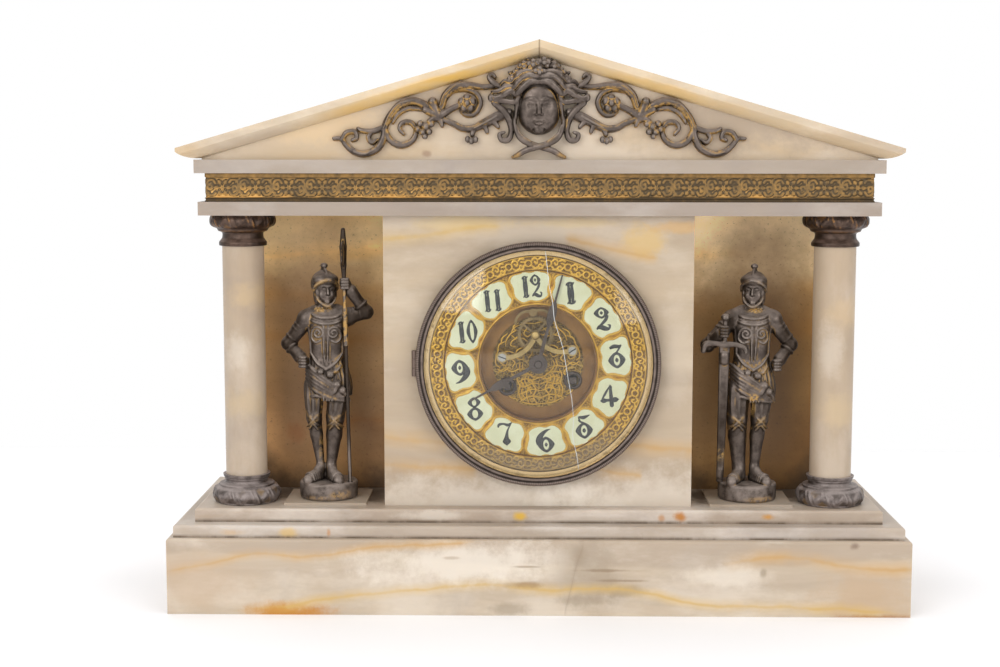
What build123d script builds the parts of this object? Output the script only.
from build123d import *
import math
import os

# Temple-form mantel clock of onyx slabs with two cast guards in armour.
# Millimetres, +Z up. X runs along the front, -Y faces the viewer, and the origin
# is under the middle of the plinth.

# Base slabs
PLINTH_WIDTH = 430.0
PLINTH_DEPTH = 150.0
PLINTH_HEIGHT = 44.5
LOWER_STEP_INSET = 3.5
LOWER_STEP_HEIGHT = 7.3
UPPER_STEP_SIDE_INSET = 11.2
UPPER_STEP_FRONT_INSET = 9.0
UPPER_STEP_HEIGHT = 8.0
SLAB_EDGE_ROUND = 1.6

# Case walls
WALL_HEIGHT = 170.7
BLOCK_WIDTH = 180.0
CASE_WIDTH = 382.0
CASE_DEPTH = 105.0
NICHE_DEPTH = 50.5
FRONT_PANEL_THICK = 14.0
CHEEK_THICK = 12.0
NICHE_WALL_THICK = 10.0
CASE_END_THICK = 10.0
BACK_PANEL_THICK = 10.0

# Entablature and gable
ARCHITRAVE_WIDTH = 391.0
ARCHITRAVE_HEIGHT = 7.8
ARCHITRAVE_FRONT_LIP = 8.5
ARCHITRAVE_BACK_LIP = 4.5
FRIEZE_WIDTH = 382.0
FRIEZE_HEIGHT = 16.4
FRIEZE_FRONT_LIP = 4.5
FRIEZE_BAND_THICK = 1.5
FRIEZE_FILLET_HEIGHT = 2.6
FRIEZE_FILLET_PROUD = 0.8
CORNICE_WIDTH = 394.0
CORNICE_HEIGHT = 7.7
CORNICE_FRONT_LIP = 10.5
CORNICE_BACK_LIP = 6.5
GABLE_WIDTH = 386.0
GABLE_THICK = 12.0
GABLE_FRONT_LIP = 6.5
GABLE_BACK_LIP = 2.5
ROOF_WIDTH = 412.6
ROOF_RISE = 60.6
ROOF_THICK = 9.6
ROOF_SOFFIT_RISE = 57.6
ROOF_NOSE = 2.2
ROOF_FRONT_LIP = 16.5
ROOF_BACK_LIP = 12.5
EAVE_BEVEL_LENGTH = 13.0
RAKE_MOULDING_HEIGHT = 5.2

# Columns and the rods through them
COLUMN_SPACING = 347.6
COLUMN_Y = -37.5
SHAFT_RADIUS = 12.2
COLUMN_BASE_HEIGHT = 16.6
COLUMN_BASE_RADIUS = 19.6
CAPITAL_HEIGHT = 18.4
CAPITAL_RADIUS = 18.8
COLLAR_RADIUS = 13.4
COLUMN_NECK_RADIUS = 11.7
ROD_RADIUS = 3.0
ROD_CLEARANCE = 0.4
REAR_ROD_SPACING = 316.0
REAR_ROD_Y = 26.0
NUT_RADIUS = 6.5
NUT_HEIGHT = 5.0
NUT_POCKET_CLEARANCE = 1.5
ROD_FOOT_HEIGHT = 8.0

# Guards, their tiles and their arms
FIGURE_SPACING = 250.5
FIGURE_Y = -33.0
TILE_WIDTH = 48.5
TILE_DEPTH = 40.0
TILE_THICK = 1.4
PEDESTAL_RADIUS = 17.3
PEDESTAL_HEIGHT = 10.2
PEDESTAL_ROUND = 2.0
HAND_RADIUS = 3.2
HALBERD_RADIUS = 1.2
HALBERD_HEADROOM = 8.1
HALBERD_HEAD_LENGTH = 26.0
HALBERD_BLADE_DEPTH = 15.0
SCABBARD_WIDTH = 6.2
SCABBARD_THICK = 2.6
GUARD_LENGTH = 24.0
GRIP_RADIUS = 1.3
GRIP_CLEARANCE = 0.2
SWORD_LIFT = 0.3

# Gable mount
MOUNT_THICK = 5.0
MASK_Z = 29.5
MASK_HEIGHT = 31.0
MASK_WIDTH = 23.5
MASK_PROUD = 9.0
HAIR_WIDTH = 38.0
HAIR_HEIGHT = 26.0
STEM_WIDTH = 3.2

# Dial and bezel
DIAL_Z = 144.5
DIAL_ROLL = 5.7
OPENING_RADIUS = 61.0
PAN_CLEARANCE = 0.6
PAN_WALL = 1.2
PAN_FLANGE_RADIUS = 68.0
PAN_FLANGE_THICK = 1.5
PAN_TUBE_LENGTH = 11.5
BEZEL_RADIUS = 70.9
BEZEL_RIM_WIDTH = 4.3
BEZEL_SIGHT_RADIUS = 63.6
BEZEL_HEIGHT = 6.8
BEZEL_GAP = 0.3
BEZEL_SEAT_THICK = 2.6
GLASS_THICK = 1.8
GLASS_DOME = 7.0
GLASS_CLEARANCE = 0.3
GLASS_SEAT_WIDTH = 2.0
HINGE_BARREL_RADIUS = 1.9
HINGE_PIN_RADIUS = 0.9
HINGE_LENGTH = 15.0
HINGE_KNUCKLE_GAP = 0.25
RUNNING_FIT = 0.05
DIAL_RING_OUTER = 63.2
DIAL_RING_THICK = 1.2
DIAL_RIM_PROUD = 1.2
DIAL_RIM_WIDTH = 8.6
PLAQUE_INNER = 36.8
PLAQUE_OUTER = 54.0
PLAQUE_SPREAD = 26.4
PLAQUE_ROUND = 3.2
PLAQUE_THICK = 1.1
PLAQUE_COUNT = 12
CUP_RADIUS = 34.3
CUP_DEPTH = 7.6
CUP_WALL = 0.8
ORNAMENT_RADIUS = 26.6
ORNAMENT_THICK = 0.8
GROMMET_RADIUS = 4.7
GROMMET_PROUD = 0.8
ARBOR_HOLE_RADIUS = 3.4

# Hands
HOUR_HAND_LENGTH = 44.8
HOUR_HAND_ANGLE = 241.2
MINUTE_HAND_LENGTH = 53.8
MINUTE_HAND_ANGLE = 14.9
HAND_HUB_RADIUS = 5.4
HAND_THICK = 0.5
HAND_GAP = 0.5
HAND_NECK_WIDTH = 2.4
HAND_SWELL_WIDTH = 5.0
HAND_TIP_WIDTH = 0.9
HAND_NUT_RADIUS = 2.3
HAND_NUT_HEIGHT = 1.4

# Movement frame
PLATE_RADIUS = 54.0
PLATE_THICK = 2.0
PLATE_SPACING = 34.0
MOTION_WORK_DEPTH = 8.6
PILLAR_RADIUS = 3.0
PILLAR_CIRCLE = 47.0
DIAL_FOOT_RADIUS = 2.5
DIAL_FOOT_CIRCLE = 50.0
STRAP_WIDTH = 8.0
STRAP_THICK = 1.6
ARBOR_RADIUS = 1.1
WINDING_X = 19.3
WINDING_V = -12.6
WINDING_RADIUS = 2.5
WINDING_SQUARE = 3.6
ESCAPE_V = 16.7
PALLET_V = 29.8

# Wheels
TOOTH_SHARE = 0.40
PRESSURE_ANGLE = 20.0
WHEEL_ADDENDUM = 0.7
FINE_WHEEL_ADDENDUM = 0.45
DEDENDUM = 1.15
GREAT_TEETH = 72
GREAT_MODULE = 0.5
STAGE_PINION = 12
INTERMEDIATE_TEETH = 72
INTERMEDIATE_MODULE = 0.4
CENTRE_PINION = 18
CENTRE_TEETH = 96
CENTRE_MODULE = 0.3
FINE_PINION = 8
THIRD_TEETH = 96
THIRD_MODULE = 0.28
PIN_WHEEL_TEETH = 72
PIN_WHEEL_MODULE = 0.4
PIN_WHEEL_BEARING = -58.0
FLY_BEARING = -12.0
CANNON_TEETH = 12
MINUTE_TEETH = 36
MOTION_MODULE = 0.5
HOUR_TEETH = 48
HOUR_MODULE = 0.4
MINUTE_WHEEL_BEARING = 180.0
ESCAPE_TEETH = 40
ESCAPE_RADIUS = 11.5
ESCAPE_TOOTH_DEPTH = 1.7
WHEEL_THICK = 1.2
GREAT_THICK = 2.0
SPRING_RADIUS = 16.5
SPRING_BORE = 3.4
SPRING_HEIGHT = 19.0
RATCHET_RADIUS = 7.0

# Pallets, pendulum, hammer and gong
PALLET_SPREAD = 55.0
PALLET_GAP = 1.0
PALLET_PIN_RADIUS = 0.7
PENDULUM_LENGTH = 97.0
PENDULUM_ROD_RADIUS = 1.0
BOB_RADIUS = 13.5
BOB_THICK = 8.0
PENDULUM_Y = 9.0
CRUTCH_LENGTH = 32.0
FORK_GAP = 0.3
HAMMER_U = -44.0
HAMMER_V = -22.0
HAMMER_ARM = 23.0
HAMMER_HEAD_RADIUS = 3.5
HAMMER_GAP = 2.0
GONG_RADIUS = 38.0
GONG_WIRE_RADIUS = 1.6
GONG_PITCH = 6.5
GONG_HALF_TURNS = 7
GONG_DROP = 4.0
GONG_Y = 28.0
GONG_POST_WIDTH = 12.0
GONG_POST_THICK = 4.0

# Back door
DOOR_RADIUS = 66.5
DOOR_THICK = 1.2
DOOR_GAP = 0.3
DOOR_KNOB_RADIUS = 3.5
DOOR_KNOB_HEIGHT = 5.0

# Levels and planes worked out from the sizes above
STEP_Z = PLINTH_HEIGHT + LOWER_STEP_HEIGHT
FLOOR_Z = STEP_Z + UPPER_STEP_HEIGHT
WALL_TOP = FLOOR_Z + WALL_HEIGHT
FRIEZE_Z = WALL_TOP + ARCHITRAVE_HEIGHT
CORNICE_Z = FRIEZE_Z + FRIEZE_HEIGHT
GABLE_Z = CORNICE_Z + CORNICE_HEIGHT
CASE_FRONT = -CASE_DEPTH / 2
CASE_BACK = CASE_DEPTH / 2
NICHE_FRONT = CASE_FRONT + NICHE_DEPTH
PAN_FRONT = CASE_FRONT - PAN_FLANGE_THICK
BEZEL_BACK = PAN_FRONT - BEZEL_GAP
BEZEL_FRONT = BEZEL_BACK - BEZEL_HEIGHT
GLASS_BACK = BEZEL_BACK - BEZEL_SEAT_THICK
GLASS_RADIUS = BEZEL_RADIUS - BEZEL_RIM_WIDTH - GLASS_CLEARANCE
PAN_TUBE_OUTER = OPENING_RADIUS - PAN_CLEARANCE
PAN_TUBE_INNER = PAN_TUBE_OUTER - PAN_WALL
PAN_TUBE_BACK = CASE_FRONT + PAN_TUBE_LENGTH
DIAL_FACE = PAN_FRONT - DIAL_RING_THICK
CUP_FLOOR = PAN_FRONT + CUP_DEPTH
ORNAMENT_FACE = CUP_FLOOR - ORNAMENT_THICK
CUP_BACK = CUP_FLOOR + CUP_WALL
FRONT_PLATE_FACE = CUP_BACK + MOTION_WORK_DEPTH
TRAIN_FRONT = FRONT_PLATE_FACE + PLATE_THICK
TRAIN_BACK = TRAIN_FRONT + PLATE_SPACING
PLATE_BACK = TRAIN_BACK + PLATE_THICK
HOUR_HAND_BACK = DIAL_FACE - PLAQUE_THICK - HAND_GAP
MINUTE_HAND_BACK = HOUR_HAND_BACK - HAND_THICK - HAND_GAP
BRIDGE_BACK = ORNAMENT_FACE - 4.6
BRIDGE_THICK = 1.0
PEDESTAL_TOP = FLOOR_Z + TILE_THICK + PEDESTAL_HEIGHT
HALBERD_TOP = WALL_TOP - HALBERD_HEADROOM
GONG_Z = DIAL_Z - GONG_DROP


def slab(x0, x1, y0, y1, z0, z1):
    """Square-edged stone slab between two corners."""
    size = Box(x1 - x0, y1 - y0, z1 - z0)
    return Pos((x0 + x1) / 2, (y0 + y1) / 2, (z0 + z1) / 2) * size


def soft_top(part):
    """Round the upper edges of a slab by hand-rubbing."""
    return fillet(part.edges().group_by(Axis.Z)[-1], SLAB_EDGE_ROUND)


def upright(radius, z0, z1, x=0.0, y=0.0):
    """Round bar along Z."""
    return Pos(x, y, (z0 + z1) / 2) * Cylinder(radius, z1 - z0)


def spindle(radius, y0, y1, u=0.0, v=0.0):
    """Round bar along Y at (u, v) on the dial's own axes."""
    return Pos(u, (y0 + y1) / 2, v) * Rot(90, 0, 0) * Cylinder(radius, y1 - y0)


def washer(inner, outer, y0, y1, u=0.0, v=0.0):
    """Flat ring round an axis along Y."""
    return spindle(outer, y0, y1, u, v) - spindle(inner, y0, y1, u, v)


def sheet(face, y0, y1):
    """Drawing seen from the front, made y0 to y1 deep."""
    return Pos(0, y1, 0) * extrude(Plane.XZ * face, y1 - y0)


def turned(outline):
    """Closed (radius, height) outline spun round Z."""
    return revolve(Plane.XZ * make_face(outline), Axis.Z)


def on_dial(part):
    """Carry a piece from the dial's own axes into the case, with the dial's roll."""
    return Pos(0, 0, DIAL_Z) * Rot(0, -DIAL_ROLL, 0) * part


def in_case(part):
    """Carry a piece that stays square to the case to the dial's centre."""
    return Pos(0, 0, DIAL_Z) * part


def dial_point(u, v):
    """Case position (x, z) of a point on the rolled dial axes."""
    turn = math.radians(DIAL_ROLL)
    x = u * math.cos(turn) - v * math.sin(turn)
    return x, DIAL_Z + u * math.sin(turn) + v * math.cos(turn)


def save(name, *shapes):
    """Write one named piece, or a set of like pieces, as a STEP file."""
    solids = [solid for shape in shapes for solid in shape.solids()]
    export_step(solids[0] if len(solids) == 1 else Compound(solids), f"parts/{name}.step")


def rod_places():
    """Two rods through the columns and two behind the niche walls."""
    column = COLUMN_SPACING / 2
    rear = REAR_ROD_SPACING / 2
    return [(-column, COLUMN_Y), (column, COLUMN_Y), (-rear, REAR_ROD_Y), (rear, REAR_ROD_Y)]


def bored(part, radius=ROD_RADIUS + ROD_CLEARANCE, z0=0.0, z1=GABLE_Z):
    """Drill a slab for the four tie rods."""
    for x, y in rod_places():
        part -= upright(radius, z0, z1, x, y)
    return part


def base_slabs():
    """Plinth and two steps, drilled for the rods, with nut pockets below."""
    half_w = PLINTH_WIDTH / 2
    half_d = PLINTH_DEPTH / 2
    plinth = slab(-half_w, half_w, -half_d, half_d, 0, PLINTH_HEIGHT)
    plinth = bored(soft_top(plinth))
    plinth = bored(plinth, NUT_RADIUS + NUT_POCKET_CLEARANCE, 0, ROD_FOOT_HEIGHT + NUT_HEIGHT)
    half_w -= LOWER_STEP_INSET
    half_d -= LOWER_STEP_INSET
    lower = bored(soft_top(slab(-half_w, half_w, -half_d, half_d, PLINTH_HEIGHT, STEP_Z)))
    half_w -= UPPER_STEP_SIDE_INSET
    half_d -= UPPER_STEP_FRONT_INSET
    upper = bored(soft_top(slab(-half_w, half_w, -half_d, half_d, STEP_Z, FLOOR_Z)))
    save("plinth", plinth)
    save("lower_step", lower)
    save("upper_step", upper)


def case_walls():
    """Front panel, cheeks, niche walls, ends and back panel of the stone case."""
    half_block = BLOCK_WIDTH / 2
    half_case = CASE_WIDTH / 2
    niche_back = NICHE_FRONT + NICHE_WALL_THICK
    back_inner = CASE_BACK - BACK_PANEL_THICK
    panel_back = CASE_FRONT + FRONT_PANEL_THICK
    opening = in_case(spindle(OPENING_RADIUS, CASE_FRONT, CASE_BACK))
    front = slab(-half_block, half_block, CASE_FRONT, panel_back, FLOOR_Z, WALL_TOP) - opening
    back = slab(-half_case, half_case, back_inner, CASE_BACK, FLOOR_Z, WALL_TOP) - opening
    sides = []
    niches = []
    for side in (-1, 1):
        outer, inner = side * half_block, side * (half_block - CHEEK_THICK)
        sides.append(slab(*sorted((outer, inner)), panel_back, niche_back, FLOOR_Z, WALL_TOP))
        end = side * half_case
        inner = side * (half_case - CASE_END_THICK)
        sides.append(slab(*sorted((end, inner)), niche_back, back_inner, FLOOR_Z, WALL_TOP))
        niches.append(slab(*sorted((outer, end)), NICHE_FRONT, niche_back, FLOOR_Z, WALL_TOP))
    save("front_panel", front)
    save("back_panel", back)
    save("side_slabs", *sides)
    save("niche_walls", *niches)


def frieze_outline(width, front, back):
    """Three sides of the frieze seen from above, as a closed drawing."""
    return Pos(0, (front + back) / 2) * Rectangle(width, back - front)


def entablature():
    """Architrave, frieze core with its brass band, and cornice slab."""
    half = ARCHITRAVE_WIDTH / 2
    front = CASE_FRONT - ARCHITRAVE_FRONT_LIP
    back = CASE_BACK + ARCHITRAVE_BACK_LIP
    architrave = bored(slab(-half, half, front, back, WALL_TOP, FRIEZE_Z))
    band_front = CASE_FRONT - FRIEZE_FRONT_LIP
    core_width = FRIEZE_WIDTH - 2 * FRIEZE_BAND_THICK
    core_front = band_front + FRIEZE_BAND_THICK
    core_face = frieze_outline(core_width, core_front, CASE_BACK)
    core = bored(Pos(0, 0, FRIEZE_Z) * extrude(core_face, FRIEZE_HEIGHT))
    core = bored(core, NUT_RADIUS + NUT_POCKET_CLEARANCE, CORNICE_Z - 2 * NUT_HEIGHT, CORNICE_Z)
    band_face = frieze_outline(FRIEZE_WIDTH, band_front, CASE_BACK) - core_face
    proud_width = FRIEZE_WIDTH + 2 * FRIEZE_FILLET_PROUD
    proud_face = frieze_outline(proud_width, band_front - FRIEZE_FILLET_PROUD, CASE_BACK) - core_face
    band = Pos(0, 0, FRIEZE_Z) * extrude(band_face, FRIEZE_HEIGHT)
    for z in (FRIEZE_Z, CORNICE_Z - FRIEZE_FILLET_HEIGHT):
        band += Pos(0, 0, z) * extrude(proud_face, FRIEZE_FILLET_HEIGHT)
    half = CORNICE_WIDTH / 2
    front = CASE_FRONT - CORNICE_FRONT_LIP
    back = CASE_BACK + CORNICE_BACK_LIP
    save("architrave", architrave)
    save("frieze_core", core)
    save("frieze_band", band)
    save("cornice_slab", slab(-half, half, front, back, CORNICE_Z, GABLE_Z))


def gable():
    """Two gable slabs under a pair of sloping roof slabs that meet in a mitre."""
    apex = GABLE_Z + ROOF_SOFFIT_RISE
    half_roof = ROOF_WIDTH / 2
    fall = ROOF_RISE / half_roof
    half_gable = GABLE_WIDTH / 2
    foot = apex - fall * half_gable
    gable_face = make_face(Polyline(
        (-half_gable, GABLE_Z), (half_gable, GABLE_Z), (half_gable, foot), (0, apex), (-half_gable, foot),
        close=True))
    front = CASE_FRONT - GABLE_FRONT_LIP
    back = CASE_BACK + GABLE_BACK_LIP
    save("gable_slabs", sheet(gable_face, front, front + GABLE_THICK),
         sheet(gable_face, back - GABLE_THICK, back))
    top = apex + ROOF_THICK
    tip = top - ROOF_RISE
    eave_x = half_roof - EAVE_BEVEL_LENGTH
    eave_z = apex - fall * eave_x
    nose_z = tip - ROOF_NOSE
    belly = ((half_roof + eave_x) / 2 + 1.0, (nose_z + eave_z) / 2 - 1.0)
    roof_face = make_face([
        Polyline((eave_x, eave_z), (0, apex), (0, top), (half_roof, tip), (half_roof, nose_z)),
        ThreePointArc((half_roof, nose_z), belly, (eave_x, eave_z))])
    roof_front = CASE_FRONT - ROOF_FRONT_LIP
    roof_back = CASE_BACK + ROOF_BACK_LIP
    slope = math.atan(fall)
    reach = front - roof_front
    bite = Plane((0, roof_front, apex), x_dir=(0, 1, 0), z_dir=(math.cos(slope), 0, -math.sin(slope)))
    quarter = make_face([
        Polyline((0, RAKE_MOULDING_HEIGHT), (-1, RAKE_MOULDING_HEIGHT), (-1, -1), (reach, -1), (reach, 0)),
        ThreePointArc((reach, 0), (reach * 0.36, RAKE_MOULDING_HEIGHT * 0.42), (0, RAKE_MOULDING_HEIGHT))])
    run = half_roof / math.cos(slope)
    cutter = extrude(bite * quarter, run * 1.2, both=True)
    right = sheet(roof_face, roof_front, roof_back) - cutter
    save("raking_cornices", mirror(right, Plane.YZ), right)


def column_outline(radius, neck, bead, height, step):
    """Half section of a turned base: torus, fillet, hollow neck and bead, bored for the rod."""
    bore = ROD_RADIUS + ROD_CLEARANCE
    torus = height * 0.46
    ledge = torus + step
    waist = neck + 0.4
    lip = height - step * 2
    return [
        Polyline((bore, height), (bore, 0), (radius - torus * 0.35, 0)),
        ThreePointArc((radius - torus * 0.35, 0), (radius, torus * 0.5), (radius - torus * 0.35, torus)),
        Polyline((radius - torus * 0.35, torus), (bead + 0.6, torus), (bead + 0.6, ledge), (waist, ledge)),
        ThreePointArc((waist, ledge), (neck, (ledge + lip) / 2), (waist, lip)),
        Polyline((waist, lip), (bead, lip), (bead, height), (bore, height))]


def columns():
    """Plain stone shafts between cast bases and capitals, threaded on two tie rods."""
    shaft_z = FLOOR_Z + COLUMN_BASE_HEIGHT
    capital_z = WALL_TOP - CAPITAL_HEIGHT
    base = turned(column_outline(COLUMN_BASE_RADIUS, COLUMN_NECK_RADIUS, COLLAR_RADIUS,
                                 COLUMN_BASE_HEIGHT, 1.8))
    capital = turned(column_outline(CAPITAL_RADIUS, COLUMN_NECK_RADIUS, COLLAR_RADIUS, CAPITAL_HEIGHT, 1.6))
    shaft = upright(SHAFT_RADIUS, shaft_z, capital_z)
    shaft -= upright(ROD_RADIUS + ROD_CLEARANCE, shaft_z, capital_z)
    places = rod_places()[:2]
    save("column_shafts", *[Pos(x, y, 0) * shaft for x, y in places])
    save("column_bases", *[Pos(x, y, FLOOR_Z) * base for x, y in places])
    save("column_capitals", *[Pos(x, y, WALL_TOP) * Rot(180, 0, 0) * capital for x, y in places])
    pieces = []
    top = CORNICE_Z - NUT_HEIGHT
    for x, y in rod_places():
        pieces.append(upright(ROD_RADIUS, ROD_FOOT_HEIGHT - 2, top + 2, x, y))
        for z in (ROD_FOOT_HEIGHT, top - NUT_HEIGHT):
            nut = extrude(RegularPolygon(NUT_RADIUS, 6) - Circle(ROD_RADIUS), NUT_HEIGHT)
            pieces.append(Pos(x, y, z) * nut)
    save("tie_rods", *pieces)


def limb(start, start_radius, end, end_radius):
    """Tapering round limb with rounded ends between two points."""
    axis = Vector(*end) - Vector(*start)
    shape = Cone(start_radius, end_radius, axis.length, align=(Align.CENTER, Align.CENTER, Align.MIN))
    shape = Plane(start, z_dir=axis) * shape
    return shape + Pos(*start) * Sphere(start_radius) + Pos(*end) * Sphere(end_radius)


def stacked_ovals(x, y, ovals):
    """Smooth body through level ovals given as (height, half width, half depth, shift)."""
    faces = [Pos(x + shift, y, z) * Ellipse(half_w, half_d) for z, half_w, half_d, shift in ovals]
    return loft(faces)


def pedestal():
    """Round footing of a figure, with a softened top edge."""
    drum = upright(PEDESTAL_RADIUS, PEDESTAL_TOP - PEDESTAL_HEIGHT, PEDESTAL_TOP)
    return fillet(drum.edges().group_by(Axis.Z)[-1], PEDESTAL_ROUND)


def armoured_body(lean, hips, knees, ankles):
    """Legs, skirted trunk, neck and crested helmet of a guard standing on its pedestal."""
    foot = PEDESTAL_TOP
    trunk = stacked_ovals(lean, 0, [
        (foot + 48, 13.6, 9.5, 0), (foot + 60, 13.2, 9.0, 0), (foot + 72, 11.2, 8.0, 0),
        (foot + 84, 11.4, 8.2, 0), (foot + 95, 11.8, 8.4, 0), (foot + 102, 8.0, 6.0, 0)])
    body = trunk + limb((lean, 0, foot + 99), 4.8, (lean, -0.5, foot + 109), 4.4)
    body += Pos(lean, -0.8, foot + 114.5) * Sphere(8.0)
    crest = Plane.YZ * make_face([
        ThreePointArc((-6.5, 119), (1.0, 129), (8.0, 117)), Line((8.0, 117), (-6.5, 119))])
    body += Pos(lean, -0.8, foot) * extrude(crest, 1.1, both=True)
    for hip, knee, ankle in zip(hips, knees, ankles):
        body += limb((hip, 0, foot + 52), 6.0, (knee, -1.0, foot + 36), 4.6)
        body += limb((knee, -1.0, foot + 36), 4.7, (ankle, 0.5, foot + 5), 3.0)
        shoe = stacked_ovals(0, 0, [(0, 4.0, 8.5, 0), (3.0, 3.6, 7.4, 0), (6.0, 2.8, 3.6, 0)])
        body += Pos(ankle, -3.5, foot) * shoe
    return body + pedestal()


def arm(shoulder, elbow, hand):
    """Upper arm with a shoulder cap, forearm and closed hand."""
    shape = limb(shoulder, 5.2, elbow, 3.6) + limb(elbow, 3.7, hand, 2.6)
    return shape + Pos(*hand) * Sphere(HAND_RADIUS)


def bar_between(start, end, radius):
    """Plain round bar between two points."""
    axis = Vector(*end) - Vector(*start)
    bar = Cylinder(radius, axis.length, align=(Align.CENTER, Align.CENTER, Align.MIN))
    return Plane(start, z_dir=axis) * bar


def guards():
    """Halberdier on the left and swordsman on the right, each holding a loose arm."""
    left = -FIGURE_SPACING / 2
    right = FIGURE_SPACING / 2
    foot = PEDESTAL_TOP
    body = armoured_body(-0.6, (-7.2, 5.4), (-8.0, 4.6), (-7.0, 3.2))
    hip_hand = (-12.5, -3.0, foot + 71)
    high_hand = (11.6, -6.0, foot + 119)
    body += arm((-12.4, 0, foot + 97), (-25.5, 0, foot + 83), hip_hand)
    body += arm((11.0, 0, foot + 99), (26.0, -2.0, foot + 101), high_hand)
    head_z = HALBERD_TOP - HALBERD_HEAD_LENGTH
    staff_foot = (13.4, high_hand[1], foot)
    staff_top = (10.6, high_hand[1], head_z + HALBERD_HEAD_LENGTH / 3)
    grip_hole = bar_between(staff_foot, staff_top, HALBERD_RADIUS + GRIP_CLEARANCE)
    save("halberdier", Pos(left, FIGURE_Y, 0) * (body - grip_hole))
    staff = bar_between(staff_foot, staff_top, HALBERD_RADIUS)
    blade = Plane.YZ * make_face([
        Polyline((-1.4, 0), (-HALBERD_BLADE_DEPTH, -4), (-HALBERD_BLADE_DEPTH + 2, 9), (-1.4, 7),
                 (-0.9, 26), (0.9, 26), (1.4, 9), (8.0, 12), (1.4, 2)),
        Line((1.4, 2), (-1.4, 0))])
    head = Pos(staff_top[0], high_hand[1], head_z) * extrude(blade, 0.7, both=True)
    save("halberd", Pos(left, FIGURE_Y, 0) * (staff + head))

    body = armoured_body(3.6, (-2.6, 9.4), (-5.2, 6.6), (-4.6, 5.6))
    tip = (-13.8, -3.0, foot + SWORD_LIFT)
    pommel = (-12.1, -10.5, foot + 99)
    sword_hand = (-12.2, -10.0, foot + 92)
    body += arm((14.8, 0, foot + 98), (27.6, 0, foot + 82), (16.5, -3.0, foot + 72))
    body += arm((-7.6, 0, foot + 98), (-20.5, -3.0, foot + 86), sword_hand)
    hole = bar_between(tip, pommel, GRIP_RADIUS + GRIP_CLEARANCE)
    save("swordsman", Pos(right, FIGURE_Y, 0) * (body - hole))
    axis = Vector(*pommel) - Vector(*tip)
    along = Plane(tip, x_dir=(1, 0, 0), z_dir=axis)
    guard_at = axis.length - 18.5
    scabbard = along * extrude(Ellipse(SCABBARD_WIDTH / 2, SCABBARD_THICK / 2), guard_at)
    cross = along * Pos(0, 0, guard_at) * Box(GUARD_LENGTH, 2.4, 2.2)
    knob = Pos(pommel[0], pommel[1], pommel[2] + 2.0) * Sphere(2.4)
    sword = scabbard + cross + bar_between(tip, pommel, GRIP_RADIUS) + knob
    save("sword", Pos(right, FIGURE_Y, 0) * sword)
    tile_z = FLOOR_Z + TILE_THICK / 2
    tile = Pos(0, FIGURE_Y, tile_z) * Box(TILE_WIDTH, TILE_DEPTH, TILE_THICK)
    save("figure_tiles", Pos(left, 0, 0) * tile, Pos(right, 0, 0) * tile)


def stem(width, *points):
    """Flat ribbon of one width along a smooth run of points, with a round end at each."""
    path = Spline(*points) if len(points) > 2 else Line(*points)
    ribbon = trace(path, width)
    for x, z in (points[0], points[-1]):
        ribbon += Pos(x, z) * Circle(width / 2)
    return ribbon


def acanthus_wing():
    """Right-hand run of scrolls, from the side of the mask out to the pointed tip."""
    wing = stem(STEM_WIDTH, (16, 42), (24.3, 41.2), (34.6, 38.8), (46.4, 40.4))
    wing += stem(STEM_WIDTH, (56, 27), (50.3, 37), (42.5, 40.4), (34.8, 33), (38.5, 25.6), (44, 27.4))
    wing += stem(STEM_WIDTH, (24.2, 41), (26.5, 45.6), (29.2, 45.6))
    wing += stem(STEM_WIDTH, (54, 24.5), (44, 17.4), (35.4, 18.5), (25.1, 21.7), (18, 25))
    wing += stem(STEM_WIDTH, (39.5, 17.5), (38.4, 12.4))
    wing += stem(STEM_WIDTH, (24, 33.5), (19, 27), (16.6, 18), (19, 11.8), (24, 13), (22.6, 17))
    wing += stem(STEM_WIDTH, (55.5, 25), (48, 28.6), (42, 30.4))
    wing += stem(STEM_WIDTH, (64.5, 17.4), (60, 21.6), (55.5, 25.5))
    wing += stem(STEM_WIDTH, (73, 22), (69, 25.8), (62, 27.4), (56, 26))
    wing += stem(STEM_WIDTH, (91, 17), (83.5, 27.6), (75.6, 31.8), (66.1, 31.4), (59.8, 31))
    wing += stem(STEM_WIDTH, (87, 20), (83.8, 12.2), (77.1, 8.6), (70.8, 12.6), (72.4, 18.4), (77.6, 17.6))
    wing += stem(STEM_WIDTH, (117, 11.6), (112.6, 11.6), (103.2, 3.8), (95.3, 4.8), (89.8, 11.4),
                 (88.4, 18))
    wing += stem(STEM_WIDTH, (102.6, 16.4), (97, 17), (90, 20))
    wing += stem(STEM_WIDTH, (95.4, 13), (93.6, 9.6), (89.6, 11.6))
    for x, z, radius in ((40.1, 30.2, 4.6), (38.4, 12.2, 2.8), (55.5, 25.5, 4.4), (59.8, 31.4, 3.6),
                         (64.5, 17, 3.8), (77.4, 14.6, 3.2), (107.4, 12.4, 3.2)):
        wing += Pos(x, z) * Circle(radius)
    return wing


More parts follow.
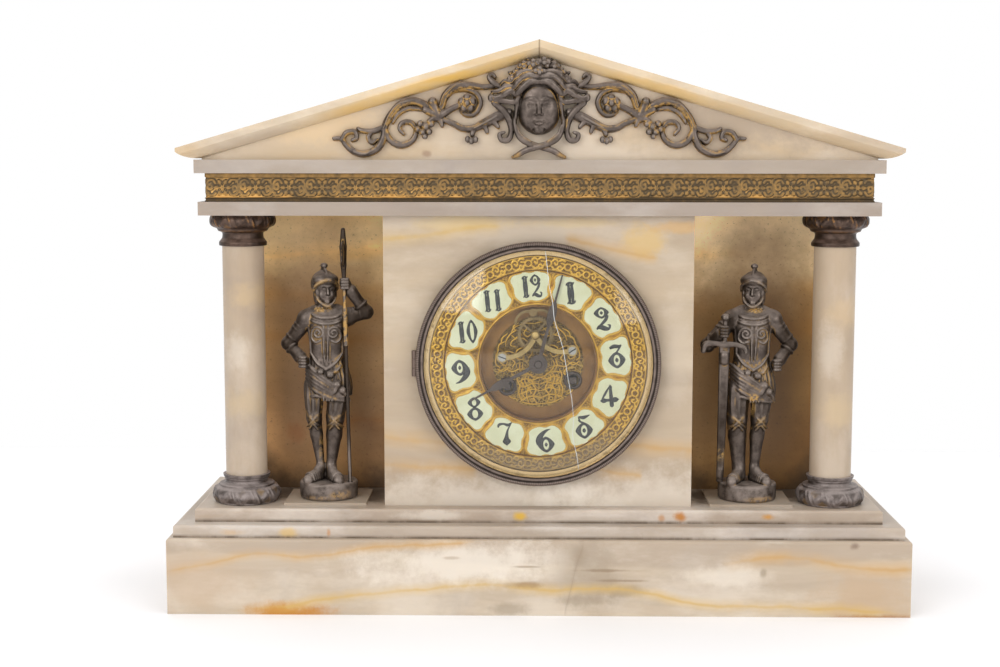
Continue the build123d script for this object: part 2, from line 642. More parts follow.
def gable_mount():
    """Cast mask with hair and ribbon, between two mirrored runs of acanthus scrolls."""
    wing = acanthus_wing()
    wing += Pos(20, 36.5) * Rot(0, 0, -12) * Ellipse(9, 3.4)
    wing += stem(STEM_WIDTH, (13, 30), (11.5, 17), (0, 9.6))
    wing += stem(STEM_WIDTH, (0, 9.4), (8.5, 5.2), (14.2, 2.2))
    drawing = wing + mirror(wing, Plane.YZ) + Pos(0, MASK_Z) * Ellipse(MASK_WIDTH / 2, MASK_HEIGHT / 2)
    drawing += Pos(0, MASK_Z + MASK_HEIGHT * 0.4) * Ellipse(HAIR_WIDTH / 2, HAIR_HEIGHT / 2)
    back = CASE_FRONT - GABLE_FRONT_LIP
    mount = sheet(Pos(0, GABLE_Z) * drawing, back - MOUNT_THICK, back)
    ovals = [Plane.XZ.offset(depth - back) * Pos(0, GABLE_Z + MASK_Z)
             * Ellipse(MASK_WIDTH / 2 * share, MASK_HEIGHT / 2 * share)
             for depth, share in ((0, 1.0), (MASK_PROUD * 0.6, 0.86), (MASK_PROUD, 0.45))]
    save("pediment_mount", mount + loft(ovals))


def hinge_barrel(x, y, z0, z1):
    """Knuckle of a hinge with its pin hole."""
    bore = HINGE_PIN_RADIUS + RUNNING_FIT
    return upright(HINGE_BARREL_RADIUS, z0, z1, x, y) - upright(bore, z0, z1, x, y)


def hinge_split(x, y, fixed_to, moving_to, fixed_reach, moving_reach):
    """Share one hinge between a fixed and a moving piece: two outer knuckles and a middle one."""
    half = HINGE_LENGTH / 2
    third = HINGE_LENGTH / 6
    inner = third + HINGE_KNUCKLE_GAP
    for z0, z1 in ((-half, -inner), (inner, half)):
        low, high = DIAL_Z + z0, DIAL_Z + z1
        leaf = slab(*sorted((x, fixed_reach[0])), fixed_reach[1], fixed_reach[2], low, high)
        leaf -= upright(HINGE_BARREL_RADIUS * 0.9, low, high, x, y)
        fixed_to += leaf + hinge_barrel(x, y, low, high)
    low, high = DIAL_Z - third, DIAL_Z + third
    leaf = slab(*sorted((x, moving_reach[0])), moving_reach[1], moving_reach[2], low, high)
    leaf -= upright(HINGE_BARREL_RADIUS * 0.9, low, high, x, y)
    moving_to += leaf + hinge_barrel(x, y, low, high)
    pin = upright(HINGE_PIN_RADIUS, DIAL_Z - half, DIAL_Z + half, x, y)
    return fixed_to, moving_to, pin


def dome(rim_radius, crown):
    """Ball whose cap of the glass's rise has the given rim, with its crown towards the viewer."""
    radius = (rim_radius ** 2 + GLASS_DOME ** 2) / (2 * GLASS_DOME)
    return Pos(0, crown + radius, 0) * Sphere(radius)


def bezel_and_pan():
    """Dial pan in the stone opening, and the knurled glazed bezel hinged on its left."""
    pan = washer(PAN_TUBE_INNER, PAN_FLANGE_RADIUS, PAN_FRONT, CASE_FRONT)
    pan += washer(PAN_TUBE_INNER, PAN_TUBE_OUTER, CASE_FRONT, PAN_TUBE_BACK)
    rim_inner = BEZEL_RADIUS - BEZEL_RIM_WIDTH
    bezel = washer(rim_inner, BEZEL_RADIUS, BEZEL_FRONT, BEZEL_BACK)
    bezel += washer(BEZEL_SIGHT_RADIUS, rim_inner, GLASS_BACK, BEZEL_BACK)
    hinge_x = -(BEZEL_RADIUS + HINGE_BARREL_RADIUS * 0.45)
    hinge_y = CASE_FRONT - HINGE_BARREL_RADIUS - RUNNING_FIT
    pan_leaf = (-PAN_FLANGE_RADIUS + 1.0, PAN_FRONT, CASE_FRONT)
    bezel_leaf = (-BEZEL_RADIUS + 3.0, BEZEL_BACK - 1.6, BEZEL_BACK)
    clear = upright(HINGE_BARREL_RADIUS + HINGE_KNUCKLE_GAP, DIAL_Z - HINGE_LENGTH / 2 - HINGE_KNUCKLE_GAP,
                    DIAL_Z + HINGE_LENGTH / 2 + HINGE_KNUCKLE_GAP, hinge_x, hinge_y)
    pan, bezel, pin = hinge_split(hinge_x, hinge_y, in_case(pan) - clear, in_case(bezel) - clear,
                                  pan_leaf, bezel_leaf)
    edge = GLASS_BACK - GLASS_THICK
    crown = edge - GLASS_DOME
    glass = spindle(GLASS_RADIUS, crown - GLASS_THICK, GLASS_BACK) & dome(GLASS_RADIUS, crown)
    glass -= dome(GLASS_RADIUS - GLASS_SEAT_WIDTH, crown + GLASS_THICK)
    save("dial_pan", pan)
    save("bezel_ring", bezel)
    save("bezel_glass", in_case(glass))
    return pin


def hand_stack_bores():
    """Outer radii of the centre arbor, the cannon pipe and the hour pipe."""
    cannon = ARBOR_RADIUS + RUNNING_FIT + 0.7
    return ARBOR_RADIUS, cannon, cannon + RUNNING_FIT + 0.8


def plaque_face():
    """Ring sector with rounded corners for one numeral, centred at twelve o'clock."""
    half = math.radians(PLAQUE_SPREAD / 2)
    corner = lambda r, a: (r * math.sin(a), r * math.cos(a))
    face = make_face([
        ThreePointArc(corner(PLAQUE_INNER, -half), corner(PLAQUE_INNER, 0), corner(PLAQUE_INNER, half)),
        Line(corner(PLAQUE_INNER, half), corner(PLAQUE_OUTER, half)),
        ThreePointArc(corner(PLAQUE_OUTER, half), corner(PLAQUE_OUTER, 0), corner(PLAQUE_OUTER, -half)),
        Line(corner(PLAQUE_OUTER, -half), corner(PLAQUE_INNER, -half))])
    return fillet(face.vertices(), PLAQUE_ROUND)


def dial():
    """Gilt ring, numeral plaques, recessed cup, pressed ornament and escapement bridge."""
    hour_pipe = hand_stack_bores()[2]
    winding = [(-WINDING_X, WINDING_V), (WINDING_X, WINDING_V)]
    ring = washer(CUP_RADIUS, DIAL_RING_OUTER, DIAL_FACE, PAN_FRONT)
    ring += washer(DIAL_RING_OUTER - DIAL_RIM_WIDTH, DIAL_RING_OUTER, DIAL_FACE - DIAL_RIM_PROUD, DIAL_FACE)
    plaque = sheet(plaque_face(), DIAL_FACE - PLAQUE_THICK, DIAL_FACE)
    step = 360 / PLAQUE_COUNT
    cup = washer(CUP_RADIUS - CUP_WALL, CUP_RADIUS, DIAL_FACE, CUP_BACK)
    cup += spindle(CUP_RADIUS, CUP_FLOOR, CUP_BACK)
    cup += washer(CUP_RADIUS, PAN_TUBE_INNER - RUNNING_FIT, PAN_FRONT, PAN_FRONT + CUP_WALL)
    cup -= spindle(hour_pipe + 0.4, CUP_FLOOR, CUP_BACK)
    ornament = spindle(ORNAMENT_RADIUS, ORNAMENT_FACE, CUP_FLOOR)
    ornament -= spindle(hour_pipe + 0.4, ORNAMENT_FACE, CUP_FLOOR)
    for u, v in winding:
        ornament += spindle(GROMMET_RADIUS, ORNAMENT_FACE - GROMMET_PROUD, ORNAMENT_FACE, u, v)
        hole = spindle(ARBOR_HOLE_RADIUS, ORNAMENT_FACE - GROMMET_PROUD, CUP_BACK, u, v)
        ornament -= hole
        cup -= hole
    for v in (ESCAPE_V, PALLET_V):
        hole = spindle(ARBOR_RADIUS + 0.4, ORNAMENT_FACE, CUP_BACK, 0, v)
        ornament -= hole
        cup -= hole
    save("dial_ring", on_dial(ring))
    save("numeral_plaques", *[on_dial(Rot(0, n * step, 0) * plaque) for n in range(PLAQUE_COUNT)])
    save("dial_centre", on_dial(cup))
    save("dial_ornament", on_dial(ornament))


def bridge():
    """Wishbone bridge on two screwed feet, with the front pivot of the escape wheel."""
    foot_u, foot_v = 20.5, 5.45
    top = BRIDGE_BACK
    front = top - BRIDGE_THICK
    face = Pos(0, ESCAPE_V) * Circle(2.75)
    for side in (-1, 1):
        sweep_in = ThreePointArc((side * foot_u, foot_v), (side * 9.5, 6.6), (0, ESCAPE_V))
        face += trace(sweep_in, 2.6) + Pos(side * foot_u, foot_v) * Circle(3.2)
    solid = sheet(face, front, top)
    screws = []
    for side in (-1, 1):
        solid += spindle(2.4, top, ORNAMENT_FACE, side * foot_u, foot_v)
        head = spindle(2.3, front - 1.0, front, side * foot_u, foot_v)
        slot = Pos(side * foot_u, front - 1.0, foot_v) * Rot(0, side * 35, 0) * Box(6, 0.8, 0.6)
        screws.append(on_dial(head - slot))
    pivot = spindle(ARBOR_RADIUS / 2 + RUNNING_FIT, front - 1.0, top, 0, ESCAPE_V)
    solid += spindle(2.0, front - 1.0, front, 0, ESCAPE_V)
    save("escapement_bridge", on_dial(solid - pivot))
    save("bridge_screws", *screws)


def hand_face(length):
    """Hand pointing up: hub, slim neck, leaf-shaped swell and a long thin point."""
    swell = length * 0.56
    reach = length * 0.17
    leaf = make_face([
        ThreePointArc((0, swell - reach), (HAND_SWELL_WIDTH / 2, swell), (0, swell + reach)),
        ThreePointArc((0, swell + reach), (-HAND_SWELL_WIDTH / 2, swell), (0, swell - reach))])
    neck = make_face(Polyline(
        (-HAND_NECK_WIDTH / 2, 0), (HAND_NECK_WIDTH / 2, 0), (HAND_TIP_WIDTH / 2, length),
        (-HAND_TIP_WIDTH / 2, length), close=True))
    return Circle(HAND_HUB_RADIUS) + neck + leaf


def wheel_pair_phase(bearing, driver_teeth, driver_phase, driven_teeth):
    """Turn, in radians, that puts a gap of the driven wheel on a tooth of the driver."""
    share = (bearing - driver_phase) * driver_teeth / (2 * math.pi)
    return bearing + math.pi - (0.5 - share) * 2 * math.pi / driven_teeth


def toothed_face(teeth, module, addendum, phase):
    """Wheel outline with involute flanks drawn as short chords, thinned for free running."""
    pitch = module * teeth / 2
    base = pitch * math.cos(math.radians(PRESSURE_ANGLE))
    root = pitch - DEDENDUM * module
    tip = pitch + addendum * module
    involute = lambda r: math.tan(math.acos(base / r)) - math.acos(base / r) if r > base else 0.0
    half = math.pi / teeth * TOOTH_SHARE + involute(pitch)
    radii = sorted({root, max(root, base), pitch, tip})
    flank = [(r, half - involute(r)) for r in radii]
    points = []
    for n in range(teeth):
        middle = phase + 2 * math.pi * n / teeth
        points += [(r, middle - a) for r, a in flank]
        points += [(r, middle + a) for r, a in reversed(flank)]
    return make_face(Polyline(*[(r * math.cos(a), r * math.sin(a)) for r, a in points], close=True))


def toothed(teeth, module, addendum, phase, y0, y1, at, spokes=0):
    """Toothed wheel or pinion between two depths, crossed out to spokes where it is large."""
    face = toothed_face(teeth, module, addendum, phase)
    if spokes:
        rim = module * (teeth / 2 - DEDENDUM) - 1.6
        window = Circle(rim) - Circle(rim * 0.3)
        for n in range(spokes):
            window -= Rot(0, 0, n * 360 / spokes) * Pos(rim / 2, 0) * Rectangle(rim, 1.8)
        face -= window
    return Pos(at[0], 0, at[1]) * sheet(face, y0, y1)


def polar(radius, degrees):
    """Point at a radius and a bearing."""
    return radius * math.cos(math.radians(degrees)), radius * math.sin(math.radians(degrees))


def arbor_between(first, first_reach, second, second_reach, side):
    """Centre at two given reaches from two other centres, on the named side of their line."""
    dx, dv = second[0] - first[0], second[1] - first[1]
    span = math.hypot(dx, dv)
    along = (first_reach ** 2 - second_reach ** 2 + span ** 2) / (2 * span)
    off = side * math.sqrt(first_reach ** 2 - along ** 2)
    return first[0] + (dx * along - dv * off) / span, first[1] + (dv * along + dx * off) / span


def bearing_of(first, second):
    """Bearing in radians from one centre to another."""
    return math.atan2(second[1] - first[1], second[0] - first[0])


def mesh_distance(module, first, second):
    """Distance between the centres of a pair of wheels."""
    return module * (first + second) / 2


CENTRE = (0.0, 0.0)
ESCAPE = (0.0, ESCAPE_V)
GOING = (WINDING_X, WINDING_V)
STRIKE = (-WINDING_X, WINDING_V)
GREAT_REACH = mesh_distance(GREAT_MODULE, GREAT_TEETH, STAGE_PINION)
INTERMEDIATE = arbor_between(
    CENTRE, mesh_distance(INTERMEDIATE_MODULE, INTERMEDIATE_TEETH, CENTRE_PINION), GOING, GREAT_REACH, 1)
THIRD = arbor_between(
    CENTRE, mesh_distance(CENTRE_MODULE, CENTRE_TEETH, FINE_PINION),
    ESCAPE, mesh_distance(THIRD_MODULE, THIRD_TEETH, FINE_PINION), 1)
PIN_WHEEL_OFFSET = polar(GREAT_REACH, PIN_WHEEL_BEARING)
PIN_WHEEL = (STRIKE[0] + PIN_WHEEL_OFFSET[0], STRIKE[1] + PIN_WHEEL_OFFSET[1])
FLY_OFFSET = polar(mesh_distance(PIN_WHEEL_MODULE, PIN_WHEEL_TEETH, FINE_PINION), FLY_BEARING)
FLY = (PIN_WHEEL[0] + FLY_OFFSET[0], PIN_WHEEL[1] + FLY_OFFSET[1])
MINUTE_WHEEL = polar(mesh_distance(MOTION_MODULE, CANNON_TEETH, MINUTE_TEETH), MINUTE_WHEEL_BEARING)
HAMMER = (HAMMER_U, HAMMER_V)
PALLET = (0.0, PALLET_V)


def pivoted(at, y0=None, y1=None, radius=ARBOR_RADIUS):
    """Arbor between the plates with a thinner pivot through each."""
    front = TRAIN_FRONT + 0.2
    back = TRAIN_BACK - 0.2
    shape = spindle(radius, front, back, *at)
    start = FRONT_PLATE_FACE if y0 is None else y0
    end = PLATE_BACK if y1 is None else y1
    return shape + spindle(radius * 0.6, start, front, *at) + spindle(radius * 0.6, back, end, *at)


def hands_and_motion_work():
    """Hour and minute hands with the wheels behind the dial that gear them twelve to one."""
    arbor, cannon_pipe, hour_pipe = hand_stack_bores()
    cannon_back = FRONT_PLATE_FACE - 0.4
    cannon_front = cannon_back - 2.4
    hour_back = cannon_front - 1.0
    hour_front = hour_back - WHEEL_THICK
    hour_hand_front = HOUR_HAND_BACK - HAND_THICK
    hour_hand = sheet(Rot(0, 0, -HOUR_HAND_ANGLE) * hand_face(HOUR_HAND_LENGTH), hour_hand_front,
                      HOUR_HAND_BACK) - spindle(hour_pipe, hour_hand_front, HOUR_HAND_BACK)
    minute_front = MINUTE_HAND_BACK - HAND_THICK
    minute_hand = sheet(Rot(0, 0, -MINUTE_HAND_ANGLE) * hand_face(MINUTE_HAND_LENGTH), minute_front,
                        MINUTE_HAND_BACK) - spindle(cannon_pipe, minute_front, MINUTE_HAND_BACK)
    save("hour_hand", in_case(hour_hand))
    save("minute_hand", in_case(minute_hand))
    nut = spindle(HAND_NUT_RADIUS, minute_front - HAND_NUT_HEIGHT, minute_front)
    save("hand_nut", in_case(fillet(nut.edges().group_by(Axis.Y)[0], HAND_NUT_HEIGHT * 0.5)))

    bearing = math.radians(MINUTE_WHEEL_BEARING)
    cannon = toothed(CANNON_TEETH, MOTION_MODULE, WHEEL_ADDENDUM, bearing, cannon_front, cannon_back,
                     CENTRE)
    cannon += spindle(cannon_pipe, minute_front, cannon_back)
    cannon -= spindle(arbor + RUNNING_FIT, minute_front, cannon_back)
    save("cannon_pinion", on_dial(cannon))
    phase = wheel_pair_phase(bearing, CANNON_TEETH, bearing, MINUTE_TEETH)
    minute = toothed(MINUTE_TEETH, MOTION_MODULE, WHEEL_ADDENDUM, phase, cannon_front + 0.4,
                     cannon_back - 0.4, MINUTE_WHEEL)
    back_bearing = bearing + math.pi
    minute += toothed(CANNON_TEETH, HOUR_MODULE, WHEEL_ADDENDUM, back_bearing, hour_front - 0.4,
                      cannon_front + 0.4, MINUTE_WHEEL)
    minute += spindle(ARBOR_RADIUS, hour_front - 1.0, hour_front - 0.4, *MINUTE_WHEEL)
    minute += spindle(ARBOR_RADIUS, cannon_back - 0.4, TRAIN_FRONT, *MINUTE_WHEEL)
    save("minute_wheel", on_dial(minute))
    phase = wheel_pair_phase(back_bearing, CANNON_TEETH, back_bearing, HOUR_TEETH)
    hour = toothed(HOUR_TEETH, HOUR_MODULE, WHEEL_ADDENDUM, phase, hour_front, hour_back, CENTRE)
    hour += spindle(hour_pipe, HOUR_HAND_BACK - HAND_THICK, hour_back)
    hour -= spindle(cannon_pipe + RUNNING_FIT, HOUR_HAND_BACK - HAND_THICK, hour_back)
    save("hour_wheel", on_dial(hour))


def great_wheel(at, phase):
    """Wheel that carries the click and runs free on its winding arbor."""
    wheel = toothed(GREAT_TEETH, GREAT_MODULE, WHEEL_ADDENDUM, phase, GREAT_FRONT, GREAT_BACK, at)
    click = Pos(at[0] + RATCHET_RADIUS + 2.4, GREAT_BACK + 0.5, at[1]) * Box(3.6, 1.0, 7.0)
    return wheel + click - spindle(WINDING_RADIUS + RUNNING_FIT, GREAT_FRONT, GREAT_BACK, *at)


def winding_arbor(at):
    """Arbor with a ratchet wheel and a square end for the key."""
    teeth = 18
    points = []
    for n in range(teeth):
        points += [polar(RATCHET_RADIUS, n * 360 / teeth), polar(RATCHET_RADIUS - 1.4, n * 360 / teeth + 3)]
    ratchet = sheet(make_face(Polyline(*points, close=True)), GREAT_BACK + 0.2, GREAT_BACK + 1.2)
    square_back = FRONT_PLATE_FACE - 1.0
    square_length = square_back - (ORNAMENT_FACE - GROMMET_PROUD - 1.6)
    square = Box(WINDING_SQUARE, square_length, WINDING_SQUARE)
    square = Pos(at[0], square_back - square_length / 2, at[1]) * square
    return spindle(WINDING_RADIUS, square_back, PLATE_BACK, *at) + Pos(at[0], 0, at[1]) * ratchet + square


GREAT_FRONT = TRAIN_FRONT + 3.5
GREAT_BACK = GREAT_FRONT + GREAT_THICK
SPRING_FRONT = GREAT_BACK + 1.6
REAR_WHEEL_Y = TRAIN_BACK - 7.0
CENTRE_WHEEL_Y = TRAIN_BACK - 3.4
THIRD_WHEEL_Y = TRAIN_FRONT + 1.0


def going_train():
    """Great wheel, intermediate, centre and third wheels up to the escape wheel in the dial."""
    arbor = hand_stack_bores()[0]
    bearing = bearing_of(GOING, INTERMEDIATE)
    save("going_great_wheel", on_dial(great_wheel(GOING, bearing)))
    save("going_winding_arbor", on_dial(winding_arbor(GOING)))
    phase = wheel_pair_phase(bearing, GREAT_TEETH, bearing, STAGE_PINION)
    stage = pivoted(INTERMEDIATE)
    stage += toothed(STAGE_PINION, GREAT_MODULE, WHEEL_ADDENDUM, phase, GREAT_FRONT - 0.5, GREAT_BACK + 0.5,
                     INTERMEDIATE)
    bearing = bearing_of(INTERMEDIATE, CENTRE)
    stage += toothed(INTERMEDIATE_TEETH, INTERMEDIATE_MODULE, WHEEL_ADDENDUM, bearing, REAR_WHEEL_Y,
                     REAR_WHEEL_Y + WHEEL_THICK, INTERMEDIATE, 5)
    save("intermediate_wheel", on_dial(stage))
    phase = wheel_pair_phase(bearing, INTERMEDIATE_TEETH, bearing, CENTRE_PINION)
    centre = pivoted(CENTRE, MINUTE_HAND_BACK - HAND_THICK + 0.4)
    centre += spindle(arbor, MINUTE_HAND_BACK - HAND_THICK + 0.4, FRONT_PLATE_FACE)
    centre += toothed(CENTRE_PINION, INTERMEDIATE_MODULE, WHEEL_ADDENDUM, phase, REAR_WHEEL_Y - 0.4,
                      REAR_WHEEL_Y + WHEEL_THICK + 0.4, CENTRE)
    bearing = bearing_of(CENTRE, THIRD)
    centre += toothed(CENTRE_TEETH, CENTRE_MODULE, FINE_WHEEL_ADDENDUM, bearing, CENTRE_WHEEL_Y,
                      CENTRE_WHEEL_Y + WHEEL_THICK, CENTRE, 5)
    save("centre_wheel", on_dial(centre))
    phase = wheel_pair_phase(bearing, CENTRE_TEETH, bearing, FINE_PINION)
    third = pivoted(THIRD, radius=0.9)
    third += toothed(FINE_PINION, CENTRE_MODULE, WHEEL_ADDENDUM, phase, CENTRE_WHEEL_Y - 0.4,
                     CENTRE_WHEEL_Y + WHEEL_THICK + 0.4, THIRD)
    bearing = bearing_of(THIRD, ESCAPE)
    third += toothed(THIRD_TEETH, THIRD_MODULE, FINE_WHEEL_ADDENDUM, bearing, THIRD_WHEEL_Y,
                     THIRD_WHEEL_Y + WHEEL_THICK, THIRD, 5)
    save("third_wheel", on_dial(third))
    phase = wheel_pair_phase(bearing, THIRD_TEETH, bearing, FINE_PINION)
    wheel_back = ORNAMENT_FACE - 2.0
    points = []
    pitch = 360 / ESCAPE_TEETH
    for n in range(ESCAPE_TEETH):
        points += [polar(ESCAPE_RADIUS, n * pitch),
                   polar(ESCAPE_RADIUS - ESCAPE_TOOTH_DEPTH, n * pitch + pitch * 0.3)]
    rim = ESCAPE_RADIUS - ESCAPE_TOOTH_DEPTH - 1.3
    face = make_face(Polyline(*points, close=True)) - (Circle(rim) - Circle(2.2)) + Circle(2.2)
    for n in range(4):
        face += Rot(0, 0, 45 + n * 90) * Pos(rim / 2, 0) * Rectangle(rim + 1.0, 1.3)
    escape = Pos(0, 0, ESCAPE_V) * sheet(face, wheel_back - 1.0, wheel_back)
    escape += spindle(0.9, wheel_back - 1.8, FRONT_PLATE_FACE - 0.2, *ESCAPE)
    escape += spindle(ARBOR_RADIUS / 2, BRIDGE_BACK - BRIDGE_THICK - 0.8, wheel_back - 1.8, *ESCAPE)
    escape += spindle(0.9 * 0.6, FRONT_PLATE_FACE - 0.2, PLATE_BACK, *ESCAPE)
    escape += toothed(FINE_PINION, THIRD_MODULE, WHEEL_ADDENDUM, phase, THIRD_WHEEL_Y - 0.4,
                      THIRD_WHEEL_Y + WHEEL_THICK + 0.4, ESCAPE)
    save("escape_wheel", on_dial(escape))


def strike_train():
    """Strike great wheel, pin wheel and fly, and the two open mainsprings."""
    bearing = bearing_of(STRIKE, PIN_WHEEL)
    save("strike_great_wheel", on_dial(great_wheel(STRIKE, bearing)))
    save("strike_winding_arbor", on_dial(winding_arbor(STRIKE)))
    phase = wheel_pair_phase(bearing, GREAT_TEETH, bearing, STAGE_PINION)
    pin_wheel = pivoted(PIN_WHEEL)
    pin_wheel += toothed(STAGE_PINION, GREAT_MODULE, WHEEL_ADDENDUM, phase, GREAT_FRONT - 0.5,
                         GREAT_BACK + 0.5, PIN_WHEEL)
    bearing = bearing_of(PIN_WHEEL, FLY)
    pin_wheel += toothed(PIN_WHEEL_TEETH, PIN_WHEEL_MODULE, FINE_WHEEL_ADDENDUM, bearing, REAR_WHEEL_Y,
                         REAR_WHEEL_Y + WHEEL_THICK, PIN_WHEEL, 4)
    save("strike_pin_wheel", on_dial(pin_wheel))
    phase = wheel_pair_phase(bearing, PIN_WHEEL_TEETH, bearing, FINE_PINION)
    fly = pivoted(FLY, radius=0.9)
    fly += toothed(FINE_PINION, PIN_WHEEL_MODULE, WHEEL_ADDENDUM, phase, REAR_WHEEL_Y - 0.4,
                   REAR_WHEEL_Y + WHEEL_THICK + 0.4, FLY)
    vane = Pos(FLY[0], (SPRING_FRONT + TRAIN_BACK) / 2 - 6.0, FLY[1]) * Box(7.0, 12.0, 0.6)
    save("strike_fly", on_dial(fly + vane))
    springs = [washer(SPRING_BORE, SPRING_RADIUS, SPRING_FRONT, SPRING_FRONT + SPRING_HEIGHT, *at)
               for at in (GOING, STRIKE)]
    save("mainsprings", *[on_dial(spring) for spring in springs])


def movement_frame():
    """Two round plates with pivot holes, pillars, dial feet and straps to the back ring."""
    bushes = [(CENTRE, ARBOR_RADIUS), (INTERMEDIATE, ARBOR_RADIUS * 0.6), (THIRD, 0.9 * 0.6),
              (ESCAPE, 0.9 * 0.6), (PIN_WHEEL, ARBOR_RADIUS * 0.6), (FLY, 0.9 * 0.6),
              (GOING, WINDING_RADIUS), (STRIKE, WINDING_RADIUS), (HAMMER, ARBOR_RADIUS),
              (PALLET, ARBOR_RADIUS)]
    front = spindle(PLATE_RADIUS, FRONT_PLATE_FACE, TRAIN_FRONT)
    back = spindle(PLATE_RADIUS, TRAIN_BACK, PLATE_BACK)
    front -= spindle(ARBOR_RADIUS + RUNNING_FIT, FRONT_PLATE_FACE, TRAIN_FRONT, *MINUTE_WHEEL)
    for at, radius in bushes:
        front -= spindle(radius + RUNNING_FIT, FRONT_PLATE_FACE, TRAIN_FRONT, *at)
        back -= spindle(radius + RUNNING_FIT, TRAIN_BACK, PLATE_BACK, *at)
    save("movement_plates", on_dial(front), on_dial(back))
    supports = []
    for bearing in (45, 135, 225, 315):
        u, v = polar(PILLAR_CIRCLE, bearing)
        supports.append(on_dial(spindle(PILLAR_RADIUS, TRAIN_FRONT, TRAIN_BACK, u, v)))
    for bearing in (20, 160, 200, 340):
        u, v = polar(DIAL_FOOT_CIRCLE, bearing)
        supports.append(on_dial(spindle(DIAL_FOOT_RADIUS, PAN_FRONT + CUP_WALL, FRONT_PLATE_FACE, u, v)))
    middle = (PAN_TUBE_INNER + PAN_TUBE_OUTER) / 2
    for side in (-1, 1):
        strap_x = side * (middle - STRAP_THICK / 2)
        reach = sorted((strap_x, side * (middle + STRAP_THICK / 4)))
        supports.append(slab(*reach, PAN_TUBE_BACK, -PAN_TUBE_BACK, DIAL_Z - STRAP_WIDTH / 2,
                             DIAL_Z + STRAP_WIDTH / 2))
    save("movement_supports", *supports)


def pallets_and_pendulum():
    """Anchor on its arbor with a crutch, and the pendulum hung on the same axis behind."""
    wheel_back = ORNAMENT_FACE - 2.0
    face = Pos(*PALLET) * Circle(2.4)
    pads = []
    for side in (-1, 1):
        reach = ESCAPE_RADIUS + PALLET_GAP + PALLET_PIN_RADIUS
        u, v = polar(reach, 90 - side * PALLET_SPREAD)
        end = (u, ESCAPE_V + v)
        bow = (side * reach * 0.62, PALLET_V - 0.6)
        face += trace(ThreePointArc(PALLET, bow, end), 1.5)
        pads.append(spindle(PALLET_PIN_RADIUS, wheel_back - 1.6, wheel_back + 0.6, *end))
    anchor = sheet(face, wheel_back - 2.8, wheel_back - 1.6)
    for pad in pads:
        anchor += pad
    anchor += spindle(ARBOR_RADIUS, wheel_back - 1.6, PLATE_BACK + 3.0, *PALLET)
    x, z = dial_point(*PALLET)
    crutch_y = PLATE_BACK + 2.0
    crutch = slab(x - 1.2, x + 1.2, crutch_y - 0.8, crutch_y + 0.8, z - CRUTCH_LENGTH, z)
    grip = PENDULUM_ROD_RADIUS + FORK_GAP
    low = z - CRUTCH_LENGTH
    crutch += slab(x - grip - 1.4, x + grip + 1.4, crutch_y - 0.8, crutch_y + 0.8, low, low + 2.0)
    for side in (-1, 1):
        inner, outer = x + side * grip, x + side * (grip + 1.4)
        crutch += slab(*sorted((inner, outer)), crutch_y - 0.8, PENDULUM_Y + 2.0, low, low + 2.0)
    save("pallets", on_dial(anchor) + crutch)

    stud = 1.2
    eye = Pos(x, PENDULUM_Y, z) * Rot(90, 0, 0) * (Cylinder(2.6, 2.4) - Cylinder(stud + RUNNING_FIT, 2.4))
    bob_z = z - PENDULUM_LENGTH
    rod = upright(PENDULUM_ROD_RADIUS, bob_z - BOB_RADIUS + 2.0, z - 2.2, x, PENDULUM_Y)
    save("pendulum_rod", rod + eye)
    profile = make_face([
        ThreePointArc((0, -BOB_THICK / 2), (BOB_RADIUS * 0.62, -BOB_THICK * 0.34), (BOB_RADIUS, 0)),
        ThreePointArc((BOB_RADIUS, 0), (BOB_RADIUS * 0.62, BOB_THICK * 0.34), (0, BOB_THICK / 2)),
        Line((0, BOB_THICK / 2), (0, -BOB_THICK / 2))])
    bob = Pos(x, PENDULUM_Y, bob_z) * revolve(profile, Axis.Y)
    bob -= upright(PENDULUM_ROD_RADIUS, bob_z - BOB_RADIUS, bob_z + BOB_RADIUS, x, PENDULUM_Y)
    save("pendulum_bob", bob)
    cock_back = PENDULUM_Y + 5.0
    cock = slab(x - 4, x + 4, PLATE_BACK, cock_back, z + 5, z + 10)
    cock += slab(x - 4, x + 4, cock_back - 3.0, cock_back, z - 3, z + 10)
    peg = Rot(90, 0, 0) * Cylinder(stud, cock_back - PENDULUM_Y + 1.0)
    cock += Pos(x, (PENDULUM_Y - 2.0 + cock_back - 1.0) / 2, z) * peg
    save("suspension_cock", cock)


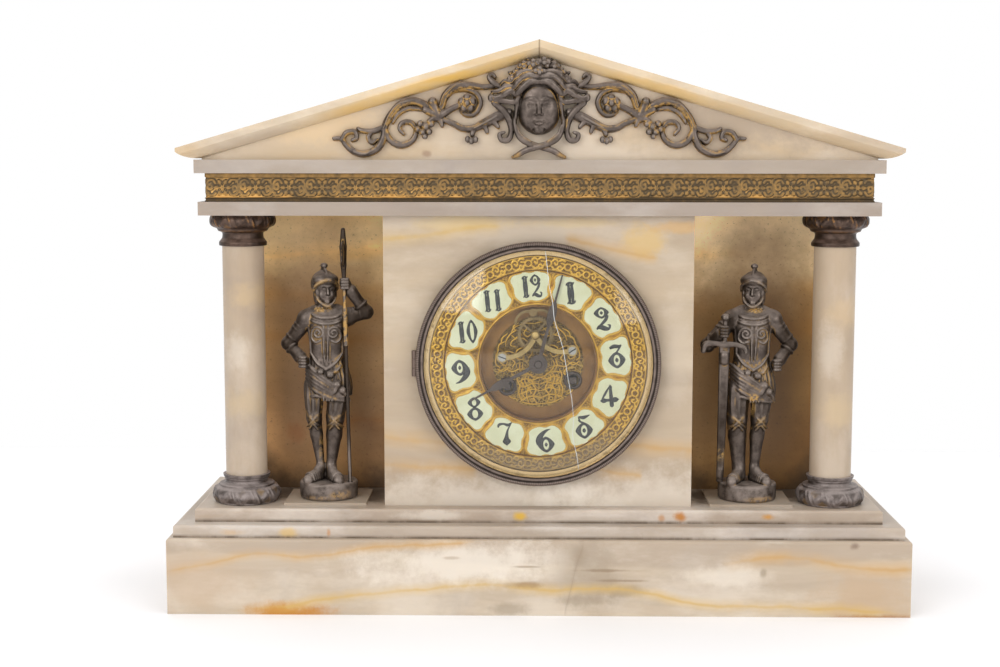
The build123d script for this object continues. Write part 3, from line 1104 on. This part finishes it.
def strike_work():
    """Hammer on its arbor, and the coil gong on an iron post."""
    x, z = dial_point(*HAMMER)
    head_x = -(GONG_RADIUS + GONG_WIRE_RADIUS + HAMMER_GAP + HAMMER_HEAD_RADIUS)
    head_z = GONG_Z
    arm_y = PENDULUM_Y
    shaft = spindle(ARBOR_RADIUS, FRONT_PLATE_FACE, arm_y + 1.2, *HAMMER)
    wire = bar_between((x, arm_y, z), (head_x, arm_y, head_z), 1.0)
    head = Pos(head_x, (arm_y - 2 + GONG_Y + 4) / 2, head_z) * Rot(90, 0, 0) * Cylinder(
        HAMMER_HEAD_RADIUS, GONG_Y + 6 - arm_y)
    save("hammer", on_dial(shaft) + wire + head)
    edges = []
    radius = GONG_RADIUS
    point = Vector(0, GONG_Z - GONG_RADIUS)
    for n in range(GONG_HALF_TURNS):
        up = 1 if n % 2 == 0 else -1
        far = Vector(0, point.Y + up * 2 * radius)
        side = Vector(up * radius, (point.Y + far.Y) / 2)
        edges.append(Plane.XZ.offset(-GONG_Y) * ThreePointArc(point, side, far))
        point = far
        radius -= GONG_PITCH / 2
    coil_path = Wire([edge for arc in edges for edge in arc.edges()])
    coil = sweep(Plane(coil_path @ 0, z_dir=coil_path % 0) * Circle(GONG_WIRE_RADIUS), coil_path)
    end_x = -2.0 * GONG_WIRE_RADIUS
    boss_front = GONG_Y - GONG_WIRE_RADIUS - 1.0
    post_front = GONG_Y + GONG_WIRE_RADIUS + 1.6
    post_back = post_front + GONG_POST_THICK
    half = GONG_POST_WIDTH / 2
    post = slab(-half, half, post_front, post_back, FLOOR_Z, point.Y + 4)
    post += slab(-2 * half, 2 * half, post_front - 4, post_back + 4, FLOOR_Z, FLOOR_Z + 5)
    post += slab(end_x - 2, 0, boss_front, post_front, point.Y - 3, point.Y + 3)
    save("gong", coil, post)


def back_door():
    """Brass ring in the rear opening with a hinged round door and its knob."""
    flange_back = CASE_BACK + PAN_FLANGE_THICK
    ring = washer(PAN_TUBE_INNER, PAN_FLANGE_RADIUS, CASE_BACK, flange_back)
    ring += washer(PAN_TUBE_INNER, PAN_TUBE_OUTER, -PAN_TUBE_BACK, CASE_BACK)
    door_front = flange_back + DOOR_GAP
    door_back = door_front + DOOR_THICK
    door = spindle(DOOR_RADIUS, door_front, door_back)
    door += spindle(DOOR_KNOB_RADIUS, door_back, door_back + DOOR_KNOB_HEIGHT, -DOOR_RADIUS + 9, 0)
    hinge_x = PAN_FLANGE_RADIUS + HINGE_BARREL_RADIUS
    hinge_y = CASE_BACK + HINGE_BARREL_RADIUS + RUNNING_FIT
    ring_leaf = (PAN_FLANGE_RADIUS - 1.0, CASE_BACK, flange_back)
    door_leaf = (DOOR_RADIUS - 1.0, door_front, door_back)
    clear = upright(HINGE_BARREL_RADIUS + HINGE_KNUCKLE_GAP, DIAL_Z - HINGE_LENGTH / 2 - HINGE_KNUCKLE_GAP,
                    DIAL_Z + HINGE_LENGTH / 2 + HINGE_KNUCKLE_GAP, hinge_x, hinge_y)
    ring, door, pin = hinge_split(hinge_x, hinge_y, in_case(ring) - clear, in_case(door) - clear,
                                  ring_leaf, door_leaf)
    save("back_ring", ring)
    save("back_door", door)
    return pin


os.makedirs("parts", exist_ok=True)
base_slabs()
case_walls()
entablature()
gable()
columns()
guards()
gable_mount()
dial()
bridge()
hands_and_motion_work()
going_train()
strike_train()
movement_frame()
pallets_and_pendulum()
strike_work()
save("hinge_pins", bezel_and_pan(), back_door())
